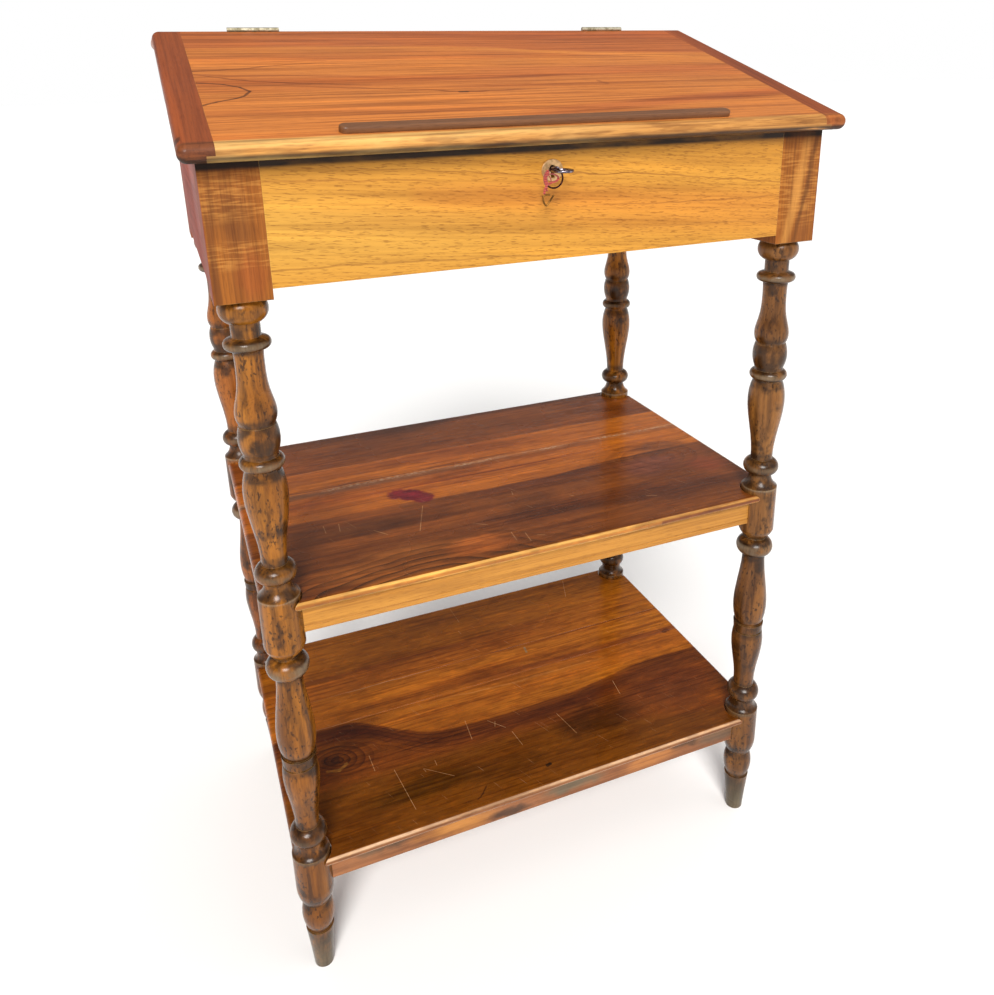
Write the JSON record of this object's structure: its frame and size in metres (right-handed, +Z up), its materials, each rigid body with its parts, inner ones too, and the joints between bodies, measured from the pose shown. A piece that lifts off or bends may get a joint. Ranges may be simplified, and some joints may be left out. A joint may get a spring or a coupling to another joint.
{
  "type": "standing desk",
  "caption": "Clerk's standing desk: sloping hinged lid over a panelled case with lock and key, on turned legs joined by open shelves.",
  "frame": {"origin": "on the floor, under the middle of the desk's overall width and depth", "axes": "+X to the right seen from the front, +Y to the back, +Z up"},
  "size_m": [0.7512, 0.526, 1.1896],
  "materials": {
    "leg_wood": "shellac, worn",
    "front_panel_wood": "shellac, worn",
    "side_panel_wood": "shellac, worn",
    "back_panel_wood": "shellac, worn",
    "lid_back_wood": "shellac, worn",
    "lid_middle_wood": "shellac, worn",
    "lid_front_wood": "shellac, worn",
    "lid_end_wood": "shellac, worn",
    "top_board_wood": "shellac, worn",
    "ledge_wood": "shellac, worn",
    "upper_shelf_wood": "shellac, worn",
    "lower_shelf_wood": "shellac, worn",
    "upper_rail_wood": "shellac, worn",
    "lower_rail_wood": "shellac, worn",
    "inner_pine": "bare, darkened with age",
    "hinge_brass": "aged",
    "screw_brass": "aged",
    "escutcheon_brass": "aged",
    "lock_brass": "aged",
    "lock_steel": "oiled",
    "key_steel": "worn",
    "ring_steel": "browned",
    "red_cotton": "woven",
    "loop_brass": "thin wire"
  },
  "bodies": {
    "case": {"leg_front_left": "leg_wood", "leg_front_right": "leg_wood", "leg_back_left": "leg_wood", "leg_back_right": "leg_wood", "front_panel": "front_panel_wood", "back_panel": "back_panel_wood", "side_panel_left": "side_panel_wood", "side_panel_right": "side_panel_wood", "top_board": "top_board_wood", "upper_shelf_front": "upper_shelf_wood", "upper_shelf_middle": "upper_shelf_wood", "upper_shelf_back": "upper_shelf_wood", "upper_rail_front": "upper_rail_wood", "upper_rail_back": "upper_rail_wood", "upper_rail_left": "upper_rail_wood", "upper_rail_right": "upper_rail_wood", "lower_shelf_front": "lower_shelf_wood", "lower_shelf_middle": "lower_shelf_wood", "lower_shelf_back": "lower_shelf_wood", "lower_rail_front": "lower_rail_wood", "lower_rail_back": "lower_rail_wood", "lower_rail_left": "lower_rail_wood", "lower_rail_right": "lower_rail_wood", "hinge_rail": "inner_pine", "bottom_cleat_front": "inner_pine", "bottom_cleat_back": "inner_pine", "bottom_cleat_left": "inner_pine", "bottom_cleat_right": "inner_pine", "bottom_board_front": "inner_pine", "bottom_board_middle": "inner_pine", "bottom_board_back": "inner_pine", "hinge_leaf_case_left": "hinge_brass", "hinge_leaf_case_right": "hinge_brass", "hinge_pins": "hinge_brass", "hinge_screws_case": "screw_brass", "escutcheon": "escutcheon_brass", "escutcheon_pins": "escutcheon_brass", "lock_selvage": "lock_brass", "lock_case": "lock_steel", "lock_screws": "lock_steel"},
    "lid": {"lid_board_back": "lid_back_wood", "lid_board_middle": "lid_middle_wood", "lid_board_front": "lid_front_wood", "lid_end_left": "lid_end_wood", "lid_end_right": "lid_end_wood", "pen_ledge": "ledge_wood", "hinge_leaf_lid_left": "hinge_brass", "hinge_leaf_lid_right": "hinge_brass", "hinge_screws_lid": "screw_brass", "lock_strike": "lock_brass", "strike_screws": "lock_steel"},
    "bolt": {"lock_bolt": "lock_steel"},
    "key_body": {"key": "key_steel"},
    "ring_body": {"key_ring": "ring_steel", "red_tie": "red_cotton", "tag_loop": "loop_brass"}
  },
  "joints": [
    {"name": "lid_hinge", "type": "hinge", "parent": "case", "child": "lid", "pos_m": [0, 0.11646, 1.18665], "axis": [-1, 0, 0], "range_deg": [0, 160]},
    {"name": "key_turn", "type": "hinge", "parent": "case", "child": "key_body", "pos_m": [0, -0.22395, 1.03012], "axis": [0, -1, 0], "range_deg": [0, 180]},
    {"name": "bolt_slide", "type": "slide", "parent": "case", "child": "bolt", "axis": [0, 0, 1], "range_m": [0, 0.008]},
    {"name": "ring_swing", "type": "hinge", "parent": "key_body", "child": "ring_body", "pos_m": [-0.0098, -0.24975, 1.03012], "axis": [0, -1, 0], "range_deg": [-180, 0]}
  ],
  "couplings": [
    {"joint": "key_turn", "follows": "bolt_slide", "rad_per_m": 392.7},
    {"joint": "ring_swing", "follows": "bolt_slide", "rad_per_m": -392.7}
  ]
}
